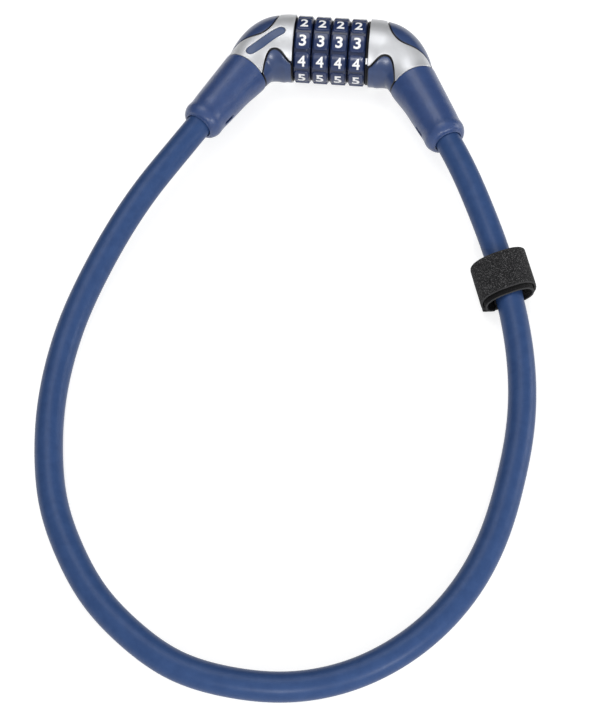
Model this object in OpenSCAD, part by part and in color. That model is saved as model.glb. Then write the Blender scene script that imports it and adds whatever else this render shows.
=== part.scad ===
// Four-dial cable lock: two elbow-shaped ends joined by a toothed bolt, and a vinyl-covered
// steel cable that leaves one end and comes back into the other.
// The lock lies flat: +Z up, dials turning about X, the cable's loop towards -Y.
// The origin is on the table under the middle of the rigid head.

/* [Dials] */
// Diameter over the number pads
dial_d = 31.5; // [28:0.1:36]
// Distance from one dial to the next
dial_pitch = 8.5; // [7.5:0.1:10]
// Free gap between two dials
dial_gap = 0.3; // [0.2:0.05:0.6]
// Height of a number pad over the groove beside it
pad_h = 0.75; // [0.4:0.05:1]
// Width of a number pad at its foot, along the dial's axis
pad_w = 6.6; // [5:0.1:7]
// Length of a number pad round the dial
pad_len = 8.6; // [7:0.1:8.9]
// Corner radius of a number pad
pad_corner = 1.3; // [0.5:0.1:2]
// Slope on the sides of a pad and of the dial's rim
dial_chamfer = 0.9; // [0.4:0.1:1.2]
// Angle from straight up, towards the loop, of the row that opens the lock
row_angle = 60; // [0:1:90]
// Angle of the white index mark, measured the same way
index_angle = 54; // [40:1:80]

/* [Core and bolt] */
// Outer diameter of the slotted core sleeve
sleeve_d = 14; // [12:0.2:16]
// Bore of the core sleeve
sleeve_bore = 9.6; // [8:0.1:10.4]
// Width of the sleeve's slot and of the tumblers' gates
slot_w = 3.2; // [2.5:0.1:4]
// Diameter of the bolt's rod
bolt_d = 9.4; // [7:0.1:9.5]
// Length of one bolt tooth along the bolt
tooth_len = 2; // [1.5:0.1:2.2]
// Radius that the bolt teeth reach
tooth_reach = 9; // [8.4:0.1:9.4]
// Outer diameter of a tumbler, without its ribs
tumbler_d = 20.8; // [20:0.1:22]
// Length of a tumbler along the core
tumbler_len = 5.2; // [4.5:0.1:5.4]
// Depth of the ten click notches in a tumbler's bore
notch_depth = 0.5; // [0.3:0.05:0.8]
// Thickness of the black thrust washer at the fixed end
washer_t = 0.35; // [0.2:0.05:0.6]
// Thickness of the black collar at the open end of the core
collar_t = 0.95; // [0.8:0.05:1.4]
// Outer diameter of washer and collar
collar_d = 29.8; // [26:0.1:31]
// Diameter of the cross pins
pin_d = 3; // [2:0.1:4]

/* [Elbow ends] */
// Diameter of an end beside the dials
barrel_d = 32; // [30:0.1:38]
// Diameter of an end where its boot begins
neck_d = 21.9; // [20:0.1:26]
// Straight length between the end's face and the bend
barrel_len = 1.3; // [0.5:0.1:6]
// Radius of the bend, at the middle of the body
elbow_r = 20.4; // [18:0.1:28]
// Angle of the bend
elbow_angle = 61.6; // [45:0.2:70]
// Straight length between the bend and the boot's edge
neck_len = 5.6; // [3:0.1:12]
// Thickness of the silver cover
cover_t = 1.2; // [0.9:0.05:1.6]
// How far the blue hump beside the dials lies below the cover's surface
cover_step = 0.45; // [0.2:0.05:0.7]
// How far the thumb pad on the outer corner lies below the cover's surface
pad_step = 0.2; // [0.1:0.05:0.6]
// Depth of the badge's face below the cover
badge_depth = 0.35; // [0.1:0.05:0.6]
// Length of the badge over its round ends
badge_len = 20.8; // [12:0.1:24]
// Width of the badge
badge_w = 4.4; // [3:0.1:6]
// How far the inner corner between the hump and the boot is filled out
root_fill = 0.9; // [0:0.1:1.4]

/* [Boots and cable] */
// Length of a boot
boot_len = 38; // [30:0.5:60]
// Diameter of a boot where its rounded end begins
boot_end_d = 18.9; // [17:0.1:22]
// Length of the rounded end
boot_dome = 4.4; // [3:0.1:6]
// Outer diameter of the cable
cable_d = 12; // [9:0.1:13]
// Gap between the cable and the boot's mouth
mouth_gap = 0.6; // [0.5:0.05:1]
// Diameter of the steel rope inside the cable
rope_d = 8; // [6:0.1:8.4]
// Diameter of the ferrule crimped on the rope
ferrule_d = 12.6; // [11:0.1:15.2]
// Diameter of the housing's spigot inside the boot
spigot_d = 17.2; // [15.5:0.1:17.4]
// Length of the spigot
spigot_len = 18.4; // [12:0.1:20]

/* [Strap] */
// Width of the hook-and-loop strap
strap_w = 20; // [15:0.5:30]
// Thickness of the strap
strap_t = 1.1; // [0.8:0.1:1.4]
// How far the strap's loop stands off the cable at either side
strap_side = 4.1; // [2:0.1:8]

/* [Hidden] */
$fn = 72;

navy = [0.14, 0.21, 0.40];
boot_blue = [0.24, 0.30, 0.47];
silver = [0.80, 0.81, 0.84];
steel = [0.62, 0.63, 0.65];
black = [0.05, 0.05, 0.06];
zinc = [0.72, 0.72, 0.70];

pads = 10;                  // numbers 0 to 9 on each dial
dials = 4;
fit = 0.05;                 // running and seating clearance, on a radius
play = 0.1;                 // clearance between faces that only pass each other
big = 80;                   // larger than any section that it cuts

// Along the dials: face of the left end, dials, collar, face of the right end
stack_len = dials * dial_pitch;
face_x = (washer_t + stack_len + collar_t + play) / 2;
stack_x = -face_x + washer_t;
collar_x = stack_x + stack_len;
sleeve_in = 11.4;           // how far the sleeve is let into the left housing
sleeve_x0 = -face_x - sleeve_in;
sleeve_x1 = collar_x + collar_t;
bolt_in = 11.4;             // how far the bolt is let into the right housing
pin_in = 6.5;               // distance of the core pin and the bolt pin from a face

// Along an end: s runs on the bend's middle line from the face, u on the boot's axis from the bend
bend_len = elbow_r * elbow_angle * PI / 180;
edge_s = barrel_len + bend_len + neck_len;
flare_s0 = 7.1;             // the barrel starts to narrow here and reaches neck_d at the boot
bend_x = face_x + barrel_len;
boot_u0 = neck_len;
boot_u1 = neck_len + boot_len;
dome_u = boot_u1 - boot_dome;
spigot_u = neck_len + spigot_len;
ferrule_u0 = 4;             // closed end of the ferrule
ferrule_u1 = spigot_u - 0.4; // its open end lies just inside the spigot's
ferrule_pin_u = 11;
rope_u = ferrule_pin_u + pin_d / 2 + 1.7; // the rope starts past the cross pin
pin_len = 2 * (spigot_d / 2 - play);
mouth_d = cable_d + 2 * mouth_gap;

// Round end of a boot as [radius, u], from its widest place to the mouth
boot_end = [for (a = [0:15:90])
    [mouth_d / 2 + (boot_end_d - mouth_d) / 2 * cos(a), dome_u + boot_dome * sin(a)]];
// The head reaches from the back of the barrels to the boots' ends, and the origin is halfway
boot_reach = elbow_r * (1 - cos(elbow_angle))
    + max([for (p = boot_end) p[0] * cos(elbow_angle) + p[1] * sin(elbow_angle)]);
axis_y = (boot_reach - barrel_d / 2) / 2;
axis_z = max(barrel_d, dial_d) / 2;

// Facets of the moulded elbow: sides round it and rings along it
sides = 44;
rings = 15;

// ---- placing ----

// From a frame whose origin is the middle of the dials' axis
module on_axis() translate([0, axis_y, axis_z]) children();

// +Z of the children points at the opening row, and their Z axis passes through the dials' axis
module facing(angle) on_axis() rotate([angle, 0, 0]) children();

// A shape turned round Z becomes one turned round X
module along_x(x) translate([x, 0, 0]) rotate([0, 90, 0]) children();

// The right end as it is, the left end as its mirror image
module end_of(side) on_axis() mirror([side < 0 ? 1 : 0, 0, 0]) children();

// Children made along Z sit on the boot's axis, with z = 0 at the end of the bend
module on_boot_axis()
    translate([bend_x + elbow_r * sin(elbow_angle), -elbow_r * (1 - cos(elbow_angle)), 0])
        rotate([0, 0, -elbow_angle]) rotate([0, 90, 0]) children();

// ---- the moulded elbow ----

function clamp(v, low, high) = min(max(v, low), high);
function ease(t) = let(c = clamp(t, 0, 1)) c * c * (3 - 2 * c);
function turn_at(s) = clamp((s - barrel_len) / elbow_r * 180 / PI, 0, elbow_angle);
function middle_at(s) = let(h = turn_at(s), past = max(s - barrel_len - bend_len, 0))
    [face_x + min(s, barrel_len) + elbow_r * sin(h) + past * cos(h),
     -elbow_r * (1 - cos(h)) - past * sin(h)];
function radius_at(s) = barrel_d / 2
    + (neck_d - barrel_d) / 2 * ease((s - flare_s0) / (edge_s - flare_s0));
// The inner corner is filled out from here along the end, and fades over this length of the boot, most
// at this angle round the section from the outer side
root_s0 = 12;
root_len = 14;
root_angle = 210;
// The blue body lies below the cover's surface, by one step on the outer side and another on the inner
// side. There it is rounded out again towards the loop, and filled out near the boot.
function body_drop(s, a) = pad_step + (cover_step - pad_step) * ease(-cos(a) / 0.6)
    - (cover_step - play) * ease((-cos(a) - 0.6) / 0.4)
    - root_fill * ease((s - root_s0) / (edge_s - root_s0)) * ease((cos(a - root_angle) - 0.5) / 0.5);
function ring_at(s, inset, body) = let(h = turn_at(s), m = middle_at(s))
    [for (i = [0:sides - 1])
        let(a = i * 360 / sides, r = radius_at(s) - inset - (body ? body_drop(s, a) : 0))
        [m[0] + r * cos(a) * sin(h), m[1] + r * cos(a) * cos(h), r * sin(a)]];

// Side faces between rings of n points each, and a cap at either end
function tube_faces(count, n) = concat(
    [[for (i = [0:n - 1]) i]],
    [for (k = [0:count - 2], i = [0:n - 1]) let(j = (i + 1) % n, a = k * n, b = a + n)
        each [[a + j, a + i, b + i], [a + j, b + i, b + j]]],
    [[for (i = [n - 1:-1:0]) (count - 1) * n + i]]);

// The outside of the covered elbow, or of its blue body, drawn in by inset and longer by extra at
// both ends
module elbow(inset = 0, extra = 0, body = false) {
    step = (edge_s + 2 * extra) / (rings - 1);
    points = [for (k = [0:rings - 1]) each ring_at(-extra + k * step, inset, body)];
    polyhedron(points, tube_faces(rings, sides), convexity = 6);
}

function bezier(p, n = 8) = [for (i = [0:n]) let(t = i / n, w = 1 - t)
    p[0] * w * w * w + p[1] * 3 * w * w * t + p[2] * 3 * w * t * t + p[3] * t * t * t];

// The thumb pad's outline on the outer corner, seen from above: an S that runs from the back along the
// outer side to the boot's edge. The points count from the end's face and the dials' axis.
module thumb_pad_outline(grow = 0) {
    x = face_x - grow;
    y = -grow;
    polygon(concat(
        bezier([[x + 7.4, y + 17], [x + 7.4, y + 3], [x + 10.4, y - 3.5], [x + 17.1, y - 4.4]]),
        bezier([[x + 17.1, y - 4.4], [x + 21.4, y - 5], [x + 27.6, y - 4.6], [x + 29.8, y - 11.3]]),
        [[x + 31.2, y - 15.6], [x + 40, y - 15.6], [x + 40, y + 30], [x + 7.4, y + 30]]));
}

// The hump's outline on the inner side, beside the dials
module hump_outline(grow = 0) {
    x = face_x;
    y = grow;
    polygon(concat(
        bezier([[x - 2, y - 14.4], [x + 3.4 - grow, y - 14.4],
            [x + 3.9 - grow, y - 10.2], [x + 8.4, y - 10.2]]),
        bezier([[x + 8.4, y - 10.2], [x + 12 + grow, y - 10.2],
            [x + 12.6 + grow, y - 14], [x + 13.3 + grow, y - 20.2]]),
        [[x + 13.6 + grow, -40], [x - 2, -40]]));
}

// What the silver cover takes of the elbow, as a prism; grow opens the two bare areas. Underneath,
// the hump's opening reaches further up, so that no silver shows along the loop's side.
hump_under = 2.2;
module cover_prism(grow = 0)
    difference() {
        translate([face_x - 5, -big / 2, -big / 2]) cube(big);
        linear_extrude(big * 2, center = true, convexity = 4) thumb_pad_outline(grow);
        linear_extrude(big * 2, center = true, convexity = 4) hump_outline(grow);
        translate([0, hump_under, -big]) linear_extrude(big, convexity = 4) hump_outline(grow);
    }

// A slot with round ends between two points
module slot_outline(a, b, w) {
    run = norm(b - a);
    translate(a) rotate(atan2(b[1] - a[1], b[0] - a[0])) union() {
        circle(d = w);
        translate([run, 0]) circle(d = w);
        translate([0, -w / 2]) square([run, w]);
    }
}

// The badge's place on the left cover, seen from above in the mirrored (right-hand) frame
badge_mid = [face_x + 12.7, -7.1];
badge_dir = [cos(-34.3), sin(-34.3)];
module badge_prism(grow = 0)
    linear_extrude(big / 2, convexity = 2)
        slot_outline(badge_mid - badge_dir * (badge_len - badge_w) / 2,
            badge_mid + badge_dir * (badge_len - badge_w) / 2, badge_w + 2 * grow);

module housing() {
    difference() {
        union() {
            difference() {
                elbow(0, 0, true);
                difference() {
                    cover_prism();
                    elbow(cover_t + fit, 1);
                }
            }
            on_boot_axis() cylinder(d = spigot_d, h = spigot_u);
        }
        on_boot_axis() translate([0, 0, ferrule_u0 - play])
            cylinder(d = ferrule_d + 2 * fit, h = big);
        on_boot_axis() translate([0, 0, ferrule_pin_u]) rotate([0, 90, 0])
            cylinder(d = pin_d + 2 * fit, h = big / 2, center = true);
    }
}

module pin_hole() translate([face_x + pin_in, 0, 0])
    cylinder(d = pin_d + 2 * fit, h = big / 2, center = true);

module left_housing() color(navy) end_of(-1) difference() {
    housing();
    along_x(face_x - 1) cylinder(d = sleeve_d + 2 * fit, h = sleeve_in + 1);
    pin_hole();
}

module right_housing() color(navy) end_of(1) difference() {
    housing();
    along_x(face_x - 1) cylinder(d = bolt_d + 2 * fit, h = bolt_in + 1);
    pin_hole();
}

module cover() intersection() {
    difference() {
        elbow();
        elbow(cover_t, 1);
    }
    cover_prism(play);
}

module left_cover() color(silver) end_of(-1) difference() {
    cover();
    badge_prism();
}

module right_cover() color(silver) end_of(1) cover();

// The bare badge fills the cover's slot, a little below its surface
module badge_plate() color(navy) end_of(-1) intersection() {
    difference() {
        elbow(badge_depth);
        elbow(cover_t - fit, 1);
    }
    badge_prism(-fit);
}

// ---- boots, ferrules and rope ends ----

boot_edge = 0.4;            // bevel of the boot's edge beside the cover
mould_slot_in = 12.4;       // distance of the moulding slot from the mouth
mould_slot = [4, 1.3, 1];   // its length, width and depth
// Edge of a boot as [radius, u], and its radius where the filled corner has faded out
boot_start = [[neck_d / 2 - boot_edge, boot_u0 + play], [neck_d / 2, boot_u0 + play + boot_edge]];
faded_r = neck_d / 2 + (boot_end_d - neck_d) / 2 * root_len / (boot_len - boot_dome);
module boot() on_boot_axis() difference() {
    union() {
        rotate_extrude(convexity = 6) polygon(concat(boot_start, boot_end,
            [[mouth_d / 2, spigot_u + play], [spigot_d / 2 + fit, spigot_u + play],
             [spigot_d / 2 + fit, boot_u0 + play]]));
        // the filled corner: a cone set off to that side, round the same bore
        difference() {
            translate([-sin(root_angle) * root_fill, cos(root_angle) * root_fill, 0]) rotate_extrude()
                polygon(concat([[0, boot_u0 + play]], boot_start,
                    [[faded_r - root_fill, boot_u0 + root_len], [0, boot_u0 + root_len]]));
            cylinder(r = spigot_d / 2 + fit, h = big);
        }
    }
    // moulding slot on the inner side, near the mouth
    translate([0, -boot_end_d / 2 + mould_slot[2], boot_u1 - mould_slot_in]) rotate([90, 0, 0])
        linear_extrude(neck_d) slot_outline([0, -mould_slot[0] / 2], [0, mould_slot[0] / 2], mould_slot[1]);
}

module left_boot() color(boot_blue) end_of(-1) boot();
module right_boot() color(boot_blue) end_of(1) boot();

// Steel ferrule: solid head with a cross hole, then the tube that is crimped on the rope
crimp_grooves = 3;
crimp_r = 0.9;              // radius of a crimp groove's round bottom
crimp_depth = 0.5;
crimp_step = (ferrule_u1 - rope_u) / (crimp_grooves + 1);
module ferrule() on_boot_axis() difference() {
    translate([0, 0, ferrule_u0]) cylinder(d = ferrule_d, h = ferrule_u1 - ferrule_u0);
    translate([0, 0, rope_u - play]) cylinder(d = rope_d + 2 * fit, h = big);
    translate([0, 0, ferrule_pin_u]) rotate([0, 90, 0])
        cylinder(d = pin_d + 2 * fit, h = big / 2, center = true);
    for (k = [1:crimp_grooves]) translate([0, 0, rope_u + k * crimp_step])
        rotate_extrude() translate([ferrule_d / 2 - crimp_depth + crimp_r, 0]) circle(r = crimp_r, $fn = 32);
}

module left_ferrule() color(zinc) end_of(-1) ferrule();
module right_ferrule() color(zinc) end_of(1) ferrule();

module ferrule_pin() on_boot_axis() translate([0, 0, ferrule_pin_u]) rotate([0, 90, 0])
    cylinder(d = pin_d, h = pin_len, center = true);

module left_ferrule_pin() color(steel) end_of(-1) ferrule_pin();
module right_ferrule_pin() color(steel) end_of(1) ferrule_pin();

// Steel rope bared of its vinyl: six strands laid round one, pressed into each other a little
strand_r = rope_d / 6;
strand_press = 0.05;
module rope_end() on_boot_axis() translate([0, 0, rope_u]) linear_extrude(ferrule_u1 - rope_u) union() {
    circle(r = strand_r + strand_press);
    for (k = [0:5]) rotate(k * 60) translate([2 * strand_r, 0]) circle(r = strand_r);
}

module left_rope_end() color(steel) end_of(-1) rope_end();
module right_rope_end() color(steel) end_of(1) rope_end();

// ---- core, tumblers, dials and bolt ----

sleeve_r = sleeve_d / 2;
spring_web = 0.7;           // wall of the sleeve under the click spring's groove
spring_groove = sleeve_r - sleeve_bore / 2 - spring_web;
spring_w = 2.6;
spring_end = 0.5;           // how far the spring stops short of the stack of dials, at either end
module core_sleeve() color(steel) facing(row_angle) difference() {
    along_x(sleeve_x0) cylinder(r = sleeve_r, h = sleeve_x1 - sleeve_x0);
    along_x(sleeve_x0 - 1) cylinder(d = sleeve_bore, h = big);
    // slot for the bolt's teeth, open at the right
    translate([stack_x - 1, -slot_w / 2, 0]) cube([big, slot_w, sleeve_d]);
    // groove for the click spring, on the opposite side
    translate([stack_x + spring_end - play, -spring_w / 2 - play, -sleeve_r - 1])
        cube([stack_len - 2 * spring_end + 2 * play, spring_w + 2 * play, spring_groove + 1]);
    rotate([-row_angle, 0, 0]) translate([-face_x - pin_in, 0, 0])
        cylinder(d = pin_d + 2 * fit, h = big / 2, center = true);
}

pin_sunk = 1.4;             // how far a cross pin's ends lie under the cover
cross_pin_len = barrel_d - 2 * (cover_t + pin_sunk);
module core_pin() color(steel) end_of(-1) translate([face_x + pin_in, 0, 0])
    cylinder(d = pin_d, h = cross_pin_len, center = true);
module bolt_pin() color(steel) end_of(1) translate([face_x + pin_in, 0, 0])
    cylinder(d = pin_d, h = cross_pin_len, center = true);

// Leaf spring with a hump under each tumbler, drawn pressed flush with the tumblers' bores
leaf_t = 0.35;
leaf_low = sleeve_r - spring_groove + fit;
leaf_high = sleeve_r - leaf_t - fit;
leaf_hump = 2.4;            // half the length of a hump
leaf_steps = 68;
function leaf_height(x) = let(t = (x - stack_x - tumbler_mid) / dial_pitch,
        d = abs(t - round(t)) * dial_pitch)
    leaf_low + (leaf_high - leaf_low) * (d < leaf_hump ? (1 + cos(d / leaf_hump * 180)) / 2 : 0);
module detent_spring() color(steel) facing(row_angle) rotate([90, 0, 0])
    translate([0, 0, -spring_w / 2]) linear_extrude(spring_w) {
        xs = [for (i = [0:leaf_steps]) stack_x + spring_end + i * (stack_len - 2 * spring_end) / leaf_steps];
        polygon(concat([for (x = xs) [x, -leaf_height(x)]],
            [for (i = [leaf_steps:-1:0]) [xs[i], -leaf_height(xs[i]) - leaf_t]]));
    }

module washer(x, t) along_x(x) difference() {
    cylinder(d = collar_d, h = t);
    translate([0, 0, -1]) cylinder(r = sleeve_r + fit, h = t + 2);
}

module thrust_washer() color(black) facing(row_angle) washer(-face_x, washer_t);

// The collar is slotted like the sleeve, so that the bolt's teeth pass, and pocketed for the mark
module end_collar() color(black) difference() {
    facing(row_angle) difference() {
        washer(collar_x, collar_t);
        translate([collar_x - 1, -slot_w / 2, 0]) cube([collar_t + 2, slot_w, tooth_reach + play]);
    }
    facing(index_angle) index_block(fit);
}

index_len = 2.8;
index_sunk = 1;
index_proud = 0.2;
module index_block(grow)
    translate([collar_x + play - grow, -index_len / 2 - grow, collar_d / 2 - index_sunk - grow])
    cube([collar_t - 2 * play + 2 * grow, index_len + 2 * grow, index_sunk + index_proud + grow]);
module index_mark() color("white") facing(index_angle) index_block(0);

// Tumbler: a ring on the core with one gate for the bolt, ten click notches and ten ribs that lock it
// into its dial. It fills the right-hand part of the dial and leaves room for a tooth at its left.
rib_r = 0.9;
notch_r = 0.8;
tumbler_x0 = dial_pitch - dial_gap / 2 - tumbler_len;
tumbler_mid = tumbler_x0 + tumbler_len / 2;
module tumbler(k) color(zinc) facing(row_angle) translate([stack_x + k * dial_pitch + tumbler_x0, 0, 0])
    difference() {
        rotate([0, 90, 0]) union() {
            cylinder(d = tumbler_d, h = tumbler_len);
            for (i = [0:pads - 1]) rotate(i * 360 / pads) translate([tumbler_d / 2, 0, 0])
                cylinder(r = rib_r, h = tumbler_len, $fn = 32);
        }
        translate([-1, 0, 0]) rotate([0, 90, 0]) {
            cylinder(r = sleeve_r + fit, h = big);
            for (i = [0:pads - 1]) rotate(i * 360 / pads)
                translate([sleeve_r + fit + notch_depth - notch_r, 0, 0])
                    cylinder(r = notch_r, h = big, $fn = 32);
        }
        translate([-1, -slot_w / 2, 0]) cube([tumbler_len + 2, slot_w, tooth_reach + play]);
    }

module tumbler_1() tumbler(0);
module tumbler_2() tumbler(1);
module tumbler_3() tumbler(2);
module tumbler_4() tumbler(3);

// Dial: a ring with ten raised number pads, sloped at both sides, on grooves to fit its tumbler
dial_w = dial_pitch - dial_gap;
dial_bore = tumbler_d + 2 * fit;
dial_r = dial_d / 2;
groove_r = dial_r - pad_h;
pad_slope = 0.6;            // run of a pad's sloped side for each millimetre of its height
pad_seat = 0.1;             // the rim's slope starts this far outside a pad's foot
module pad_block() translate([0, 0, groove_r / 2]) linear_extrude(dial_r) union() {
    w = pad_w + 1;
    square([w, pad_len - 2 * pad_corner], center = true);
    square([w - 2 * pad_corner, pad_len], center = true);
    for (x = [-1, 1], y = [-1, 1]) translate([x * (w / 2 - pad_corner), y * (pad_len / 2 - pad_corner)])
        circle(r = pad_corner, $fn = 32);
}

module dial(k) color(navy) facing(row_angle) translate([stack_x + (k + 0.5) * dial_pitch, 0, 0])
    difference() {
        union() {
            rotate([0, 90, 0]) rotate_extrude() polygon([
                [dial_bore / 2, -dial_w / 2], [groove_r - dial_chamfer, -dial_w / 2],
                [groove_r, -pad_w / 2 - pad_seat], [groove_r, pad_w / 2 + pad_seat],
                [groove_r - dial_chamfer, dial_w / 2], [dial_bore / 2, dial_w / 2]]);
            intersection() {
                rotate([0, 90, 0]) rotate_extrude() polygon([
                    [groove_r - pad_h, -pad_w / 2], [groove_r, -pad_w / 2],
                    [dial_r, -pad_w / 2 + pad_h * pad_slope], [dial_r, pad_w / 2 - pad_h * pad_slope],
                    [groove_r, pad_w / 2], [groove_r - pad_h, pad_w / 2]]);
                for (i = [0:pads - 1]) rotate([i * 360 / pads, 0, 0]) pad_block();
            }
        }
        for (i = [0:pads - 1]) rotate([i * 360 / pads, 0, 0]) along_x(-dial_w)
            translate([-tumbler_d / 2, 0, 0]) cylinder(r = rib_r + fit, h = 2 * dial_w, $fn = 32);
    }

module dial_1() dial(0);
module dial_2() dial(1);
module dial_3() dial(2);
module dial_4() dial(3);

// Bolt: a round rod with a rounded nose and one tooth to the left of each tumbler
bolt_x0 = -face_x - 2;      // tip of its nose, inside the left housing
tooth_w = slot_w - 4 * play;
nose = 1.5;
tooth_x = (tumbler_x0 - dial_gap / 2) / 2;
module bolt() color(steel) difference() {
    facing(row_angle) union() {
        along_x(bolt_x0) rotate_extrude() polygon(concat(
            [[0, 0]],
            [for (a = [0:15:90]) [bolt_d / 2 - nose + nose * sin(a), nose - nose * cos(a)]],
            [[bolt_d / 2, face_x + bolt_in - bolt_x0], [0, face_x + bolt_in - bolt_x0]]));
        for (k = [0:dials - 1])
            translate([stack_x + k * dial_pitch + tooth_x - tooth_len / 2, -tooth_w / 2, 0])
                intersection() {
                    cube([tooth_len, tooth_w, tooth_reach]);
                    rotate([0, 90, 0]) cylinder(r = tooth_reach, h = tooth_len);
                }
    }
    end_of(1) pin_hole();
}

// ---- cable and strap ----

// Middle line of the free cable from the left boot's mouth to the right one's, on the table
route = [[-65, -45, 16], [-76, -66, 15], [-86, -88, 12.5], [-94, -110, 9.5], [-100, -132, 7], [-103, -155, 6],
    [-103, -178, 6], [-100, -201, 6], [-94, -223, 6], [-84, -243, 6], [-71, -261, 6], [-54, -276, 6],
    [-35, -287, 6], [-13, -292, 6], [10, -292, 6], [32, -286, 6], [52, -274, 6], [68, -258, 6],
    [80, -239, 6], [88, -218, 6], [93, -195, 6], [96, -172, 6.4], [96, -149, 7.4], [93, -126, 8.5],
    [88, -104, 8.7], [82, -84, 9.3], [74, -64, 12], [65, -45, 15.4]];
function boot_point(side, u) = [side * (bend_x + elbow_r * sin(elbow_angle) + u * cos(elbow_angle)),
    axis_y - elbow_r * (1 - cos(elbow_angle)) - u * sin(elbow_angle), axis_z];
cable_sides = 12;
cable_path = concat([boot_point(-1, ferrule_u1), boot_point(-1, boot_u1 + 4)], route,
    [boot_point(1, boot_u1 + 4), boot_point(1, ferrule_u1)]);
last = len(cable_path) - 1;
function unit(v) = v / norm(v);
// Square to the boot at both ends, and along the chord between the neighbours elsewhere
function heading(i) = i == 0 ? unit(cable_path[1] - cable_path[0])
    : i == last ? unit(cable_path[last] - cable_path[last - 1])
    : unit(cable_path[i + 1] - cable_path[i - 1]);
function cable_ring(i) = let(t = heading(i), side = unit(cross([0, 0, 1], t)), top = cross(t, side))
    [for (k = [0:cable_sides - 1]) let(a = (k + 0.5) * 360 / cable_sides)
        cable_path[i] + cable_d / 2 * (cos(a) * side + sin(a) * top)];

module cable() color([0.16, 0.24, 0.45])
    polyhedron([for (i = [0:last]) each cable_ring(i)], tube_faces(last + 1, cable_sides), convexity = 8);

// The strap is wound one and a half times round the cable, in a flat loop that rests on the table.
// It starts inside at the upper right and ends outside at the lower left, seen from the loop's side.
strap_on = [86.1, -97.4];   // place on the cable, from above
strap_skew = 21.5;          // angle of the strap's axis, from the Y axis
strap_roll = 6;             // how far its right side is lifted
strap_turns = 1.5;
strap_start = 35;           // angle of the inner end above the level
strap_gap = 0.15;           // between two turns
strap_low = 0.35;           // the loop starts this much lower than the cable and grows round it
// Inner half-width and half-height where the strap starts
strap_half = [cable_d / 2 + strap_side, cable_d / 2 - strap_low];
cable_aside = 0.5;          // how far the cable lies to the right of the strap's middle
function sign_pow(v) = sign(v) * pow(abs(v), 0.8);
// A point of the band: turn counts the turns, off is the distance from the inner face
function band(turn, off) = let(a = strap_start - turn * 360, grow = (strap_t + strap_gap) * turn + off,
    x = (strap_half[0] + grow) * sign_pow(cos(a)) - cable_aside,
    z = (strap_half[1] + grow) * sign_pow(sin(a)))
    [x * cos(strap_roll) - z * sin(strap_roll), x * sin(strap_roll) + z * cos(strap_roll)];
strap_points = 72;
strap_outline = concat(
    [for (i = [0:strap_points]) band(i * strap_turns / strap_points, 0)],
    [for (i = [strap_points:-1:0]) band(i * strap_turns / strap_points, strap_t)]);
strap_z = -min([for (p = strap_outline) p[1]]);
module strap() color(black)
    translate([strap_on[0], strap_on[1], strap_z]) rotate([0, 0, strap_skew]) rotate([90, 0, 0])
        linear_extrude(strap_w, center = true, convexity = 6) polygon(strap_outline);

left_housing();
left_cover();
badge_plate();
left_boot();
left_ferrule();
left_ferrule_pin();
left_rope_end();
core_sleeve();
core_pin();
detent_spring();
thrust_washer();
end_collar();
index_mark();
cable();
dial_1();
dial_2();
dial_3();
dial_4();
tumbler_1();
tumbler_2();
tumbler_3();
tumbler_4();
right_housing();
right_cover();
right_boot();
right_ferrule();
right_ferrule_pin();
right_rope_end();
bolt();
bolt_pin();
strap();
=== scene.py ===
import bmesh
import bpy
import numpy as np
from mathutils import Matrix, Vector
from mathutils.geometry import delaunay_2d_cdt


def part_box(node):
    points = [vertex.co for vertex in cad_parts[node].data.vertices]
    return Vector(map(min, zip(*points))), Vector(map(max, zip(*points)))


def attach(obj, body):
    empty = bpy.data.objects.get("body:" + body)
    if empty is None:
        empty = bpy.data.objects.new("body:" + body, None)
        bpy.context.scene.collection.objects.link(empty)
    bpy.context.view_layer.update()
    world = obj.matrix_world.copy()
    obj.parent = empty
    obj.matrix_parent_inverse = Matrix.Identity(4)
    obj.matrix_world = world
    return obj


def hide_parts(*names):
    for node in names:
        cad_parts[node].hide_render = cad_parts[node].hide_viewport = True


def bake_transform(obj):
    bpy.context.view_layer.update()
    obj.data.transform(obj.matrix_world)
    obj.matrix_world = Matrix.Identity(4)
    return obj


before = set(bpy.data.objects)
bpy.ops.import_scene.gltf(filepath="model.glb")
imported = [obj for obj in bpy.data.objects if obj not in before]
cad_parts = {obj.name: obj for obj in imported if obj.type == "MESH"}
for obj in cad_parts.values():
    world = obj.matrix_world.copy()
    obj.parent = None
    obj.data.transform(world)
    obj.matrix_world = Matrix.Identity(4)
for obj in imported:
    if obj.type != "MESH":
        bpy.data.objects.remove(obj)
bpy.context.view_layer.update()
mm = 0.001

# ---- Cable ----
# A steel rope under 12 mm of satin navy vinyl, extruded in one length. It is stiff, so it lies in one
# wide loop, and both its ends go into the boots, where ferrules hold the rope.
dial_low, dial_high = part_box("dial_1")
axis_y = (dial_low.y + dial_high.y) / 2
axis_z = (dial_low.z + dial_high.z) / 2
face_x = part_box("right_cover")[0].x
# The middle line of an end: a short straight, a bend, and a straight for the neck and the boot
barrel_len = 1.3 * mm
elbow_r = 20.4 * mm
elbow_angle = np.radians(61.6)
bend_len = elbow_r * elbow_angle
neck_len = 5.6 * mm
boot_len = 38 * mm
straight_s = barrel_len + bend_len
cable_r = 6 * mm
vinyl_end, past_mouth = 23.6 * mm, 4 * mm


def around_line(side, s, a, r):
    """Points round the middle line of an end. s runs from the end's face along a short straight, a bend
    and a straight; a turns from the outer side over the top; r is the distance from the line."""
    s, a, r = np.broadcast_arrays(s, a, r)
    turn = np.clip((s - barrel_len) / elbow_r, 0, elbow_angle)
    past = np.maximum(s - barrel_len - bend_len, 0)
    x = face_x + np.minimum(s, barrel_len) + elbow_r * np.sin(turn) + past * np.cos(turn)
    y = axis_y - elbow_r * (1 - np.cos(turn)) - past * np.sin(turn)
    out = r * np.cos(a)
    return np.stack([side * (x + out * np.sin(turn)), y + out * np.cos(turn), axis_z + r * np.sin(a)], -1)


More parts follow.
